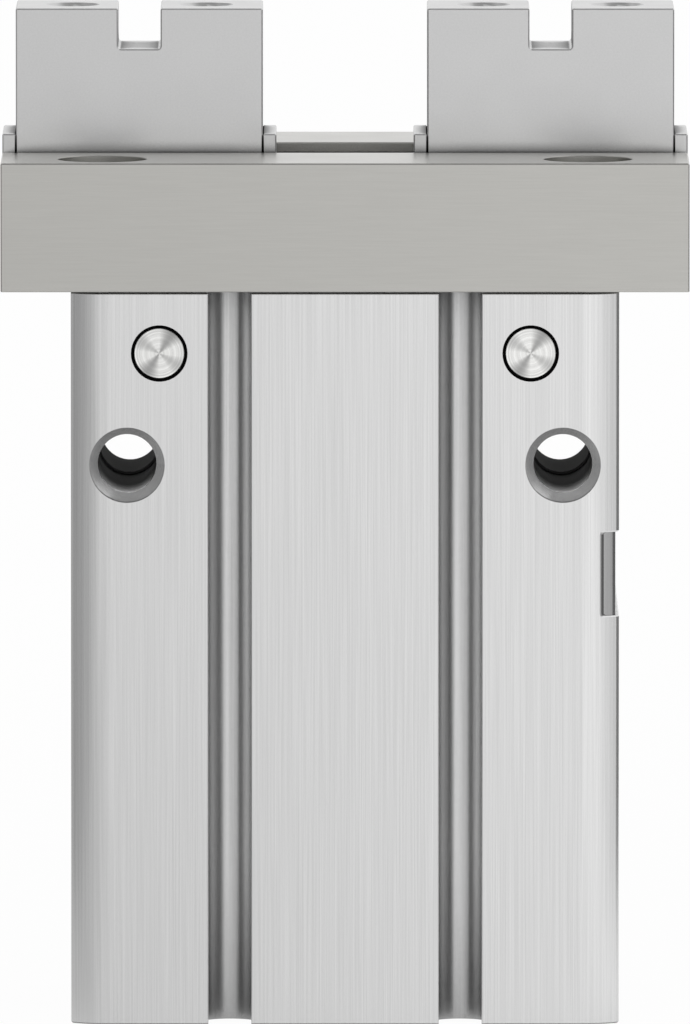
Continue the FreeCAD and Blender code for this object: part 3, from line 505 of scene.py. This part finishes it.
for name, v in threads.items():
    mount = mounts[name]
    radius = mount["dims"].get("hole_r_mm", mount["dims"].get("r_mm")) * mm
    reach = mount["dims"].get("spacing_x_mm", 0.0) / 2 * mm
    holes = {"_first": -reach, "_second": reach} if reach else {"": 0.0}
    for label, shift in holes.items():
        place = Vector(mount["pos_m"]) + Vector((shift, 0, 0))
        shape = cutThread(name, place, radius)
        finishPiece(name + label + "_thread", shape, finishes[v["slot"]], v["body"])
print("threads cut:", len(threads))


# one flat sheet of the stage, from its middle and its two sides
def flatSheet(name, centre, across, up, material):
    shape = bmesh.new()
    bmesh.ops.create_grid(shape, x_segments=1, y_segments=1, size=0.5)
    turn = Matrix((across, up, across.cross(up).normalized())).transposed().to_4x4()
    bmesh.ops.transform(shape, matrix=Matrix.Translation(centre) @ turn, verts=shape.verts)
    mesh = bpy.data.meshes.new(name)
    shape.to_mesh(mesh)
    shape.free()
    mesh.materials.append(material)
    sheet = bpy.data.objects.new(name, mesh)
    scene.collection.objects.link(sheet)
    return sheet


# the paper's glow in metal grows to the right, within its reach, and towards the camera
floorShape = {"size": 6.0, "drop": 0.2, "paper": ("#ECECEC", "#F0F0F0"), "fibre": 3.0, "roughness": 0.9,
              "whiteShare": 0.97, "glowReach": 0.03, "glowSides": (0.60, 0.96), "glowFront": 0.19}

# matt paper that glows: white to the camera, and in the metal's reflections a painted glow, a little greyer
v = floorShape
paper, tree, shader, place = newMaterial("white_paper")
fibre = addNode(tree, "ShaderNodeTexNoise", None,
                {"Vector": place, "Scale": perMm(v["fibre"])[0], "Detail": 2.0})
paperTone = addNode(tree, "ShaderNodeMix", {"data_type": "RGBA"},
                    {0: fibre.outputs["Fac"], 6: hexColour(v["paper"][0]), 7: hexColour(v["paper"][1])})
tree.links.new(paperTone.outputs[2], shader.inputs["Base Color"])
shader.inputs["Roughness"].default_value = v["roughness"]
shader.inputs["Specular IOR Level"].default_value = 0.0
parts = addNode(tree, "ShaderNodeSeparateXYZ", None, {0: place})
rightward = addNode(tree, "ShaderNodeMapRange", None,
                    {"Value": parts.outputs[0], "From Min": -v["glowReach"], "From Max": v["glowReach"],
                     "To Min": v["glowSides"][0], "To Max": v["glowSides"][1]})
frontward = addNode(tree, "ShaderNodeMath", {"operation": "MULTIPLY_ADD"},
                    {0: parts.outputs[1], 1: -v["glowFront"], 2: rightward.outputs[0]})
glow = addNode(tree, "ShaderNodeMath", {"operation": "MINIMUM"}, {0: frontward.outputs[0], 1: 1.0})
ray = addNode(tree, "ShaderNodeLightPath")
strength = addNode(tree, "ShaderNodeMath", {"operation": "MAXIMUM"},
                   {0: glow.outputs[0], 1: ray.outputs["Is Camera Ray"]})
seen = addNode(tree, "ShaderNodeMath", {"operation": "MAXIMUM"},
               {0: ray.outputs["Is Camera Ray"], 1: ray.outputs["Is Glossy Ray"]})
share = addNode(tree, "ShaderNodeMath", {"operation": "MULTIPLY"}, {0: seen.outputs[0], 1: v["whiteShare"]})
bright = addNode(tree, "ShaderNodeEmission", None, {"Color": white, "Strength": strength.outputs[0]})
both = addNode(tree, "ShaderNodeMixShader", None,
               {0: share.outputs[0], 1: shader.outputs[0], 2: bright.outputs[0]})
tree.links.new(both.outputs[0], tree.nodes["Material Output"].inputs["Surface"])
flatSheet("floor", Vector((0, 0, -v["drop"] * mm)), Vector((v["size"], 0, 0)),
          Vector((0, v["size"], 0)), paper)

# glowing cloth panels round the object, unseen by the camera, their glow painted in greys from front to
# rear: in the metal's reflections they darken its sides and edges
panels = {
    "leftFront": {"centre": (-0.08, -0.14, 0.08), "across": (0, 0.27, 0), "up": (0, 0, 0.24),
                  "greys": ("#ECECEC", "#979797"), "run": (-0.25, -0.005), "bend": 1.3},
    "leftBack": {"centre": (-0.08, 0.0675, 0.08), "across": (0, 0.145, 0), "up": (0, 0, 0.24),
                 "greys": ("#B3B3B3", "#B3B3B3"), "run": (-0.005, 0.14), "bend": 1.0},
    "rightFront": {"centre": (0.08, -0.06, 0.015), "across": (0, 0.10, 0), "up": (0, 0, 0.11),
                   "greys": ("#FBFBFB", "#DADADA"), "run": (-0.09, -0.015), "bend": 1.0},
    "rightBack": {"centre": (0.08, 0.065, 0.015), "across": (0, 0.15, 0), "up": (0, 0, 0.11),
                  "greys": ("#7C7C7C", "#7C7C7C"), "run": (-0.01, 0.14), "bend": 1.0},
    "overhead": {"centre": (0.0, -0.03, 0.32), "across": (0.30, 0, 0), "up": (0, 0.18, 0),
                 "greys": ("#929292", "#929292"), "run": (-0.12, 0.06), "bend": 1.0},
}
clothWeave = {"thread": 2.0, "dark": 0.04}
for name, panel in panels.items():
    glowPanel, tree, shader, place = newMaterial(name + "Cloth")
    weave = addNode(tree, "ShaderNodeTexNoise", None,
                    {"Vector": place, "Scale": perMm(clothWeave["thread"])[0], "Detail": 2.0})
    parts = addNode(tree, "ShaderNodeSeparateXYZ", None, {0: place})
    along = addNode(tree, "ShaderNodeMapRange", None,
                    {"Value": parts.outputs[1], "From Min": panel["run"][0], "From Max": panel["run"][1]})
    rearShare = addNode(tree, "ShaderNodeMath", {"operation": "POWER"},
                        {0: along.outputs[0], 1: panel["bend"]})
    shade = addNode(tree, "ShaderNodeMix", {"data_type": "RGBA"},
                    {0: rearShare.outputs[0], 6: hexColour(panel["greys"][0]),
                     7: hexColour(panel["greys"][1])})
    weaveShare = addNode(tree, "ShaderNodeMapRange", None,
                         {"Value": weave.outputs["Fac"], **noiseSpan, "To Max": clothWeave["dark"]})
    weaveTone = addNode(tree, "ShaderNodeMix", {"data_type": "RGBA"},
                        {0: weaveShare.outputs[0], 6: shade.outputs[2], 7: black})
    tree.links.new(weaveTone.outputs[2], shader.inputs["Emission Color"])
    shader.inputs["Base Color"].default_value = black
    shader.inputs["Emission Strength"].default_value = 1.0
    shader.inputs["Specular IOR Level"].default_value = 0.0
    sheet = flatSheet(name, Vector(panel["centre"]), Vector(panel["across"]), Vector(panel["up"]), glowPanel)
    sheet.visible_camera = False
    sheet.visible_shadow = False

# a plain bright room, white where it is seen
roomLight = {"dim": 0.75, "seen": 1.0}
world = bpy.data.worlds.new("studio")
scene.world = world
world.use_nodes = True
tree = world.node_tree
ray = addNode(tree, "ShaderNodeLightPath")
direct = addNode(tree, "ShaderNodeMath", {"operation": "MAXIMUM"},
                 {0: ray.outputs["Is Camera Ray"], 1: ray.outputs["Is Glossy Ray"]})
seen = addNode(tree, "ShaderNodeMath", {"operation": "MAXIMUM"},
               {0: direct.outputs[0], 1: ray.outputs["Is Transmission Ray"]})
dim = addNode(tree, "ShaderNodeBackground", None, {"Color": white, "Strength": roomLight["dim"]})
bright = addNode(tree, "ShaderNodeBackground", None, {"Color": white, "Strength": roomLight["seen"]})
room = addNode(tree, "ShaderNodeMixShader", None,
               {0: seen.outputs[0], 1: dim.outputs[0], 2: bright.outputs[0]})
tree.links.new(room.outputs[0], tree.nodes["World Output"].inputs["Surface"])

# large and weak, so that no pale face clips to white
lamps = {
    "key": {"place": (0.55, -0.75, 0.85), "size": 1.4, "watts": 1.2},
    "fill": {"place": (-0.7, -0.7, 0.5), "size": 1.0, "watts": 0.6},
}
lampAim = Vector((0, 0, 0.028))
for name, lamp in lamps.items():
    lampData = bpy.data.lights.new(name, "AREA")
    lampData.size = lamp["size"]
    lampData.energy = lamp["watts"]
    lampObject = bpy.data.objects.new(name, lampData)
    lampObject.location = lamp["place"]
    lampObject.rotation_euler = (lampAim - lampObject.location).to_track_quat("-Z", "Y").to_euler()
    scene.collection.objects.link(lampObject)

cameraFit = {"place": (0.0, -1.4618, 0.15756), "tilt": 5.0915, "lens": 929.79, "sensor": 36.0,
             "farthest": 20.0}
cameraData = bpy.data.cameras.new("photoCamera")
cameraData.lens = cameraFit["lens"]
cameraData.sensor_width = cameraFit["sensor"]
cameraData.clip_end = cameraFit["farthest"]
camera = bpy.data.objects.new("photoCamera", cameraData)
camera.location = cameraFit["place"]
camera.rotation_euler = (math.radians(90 - cameraFit["tilt"]), 0, 0)
scene.collection.objects.link(camera)
scene.camera = camera
print("stage and camera set")
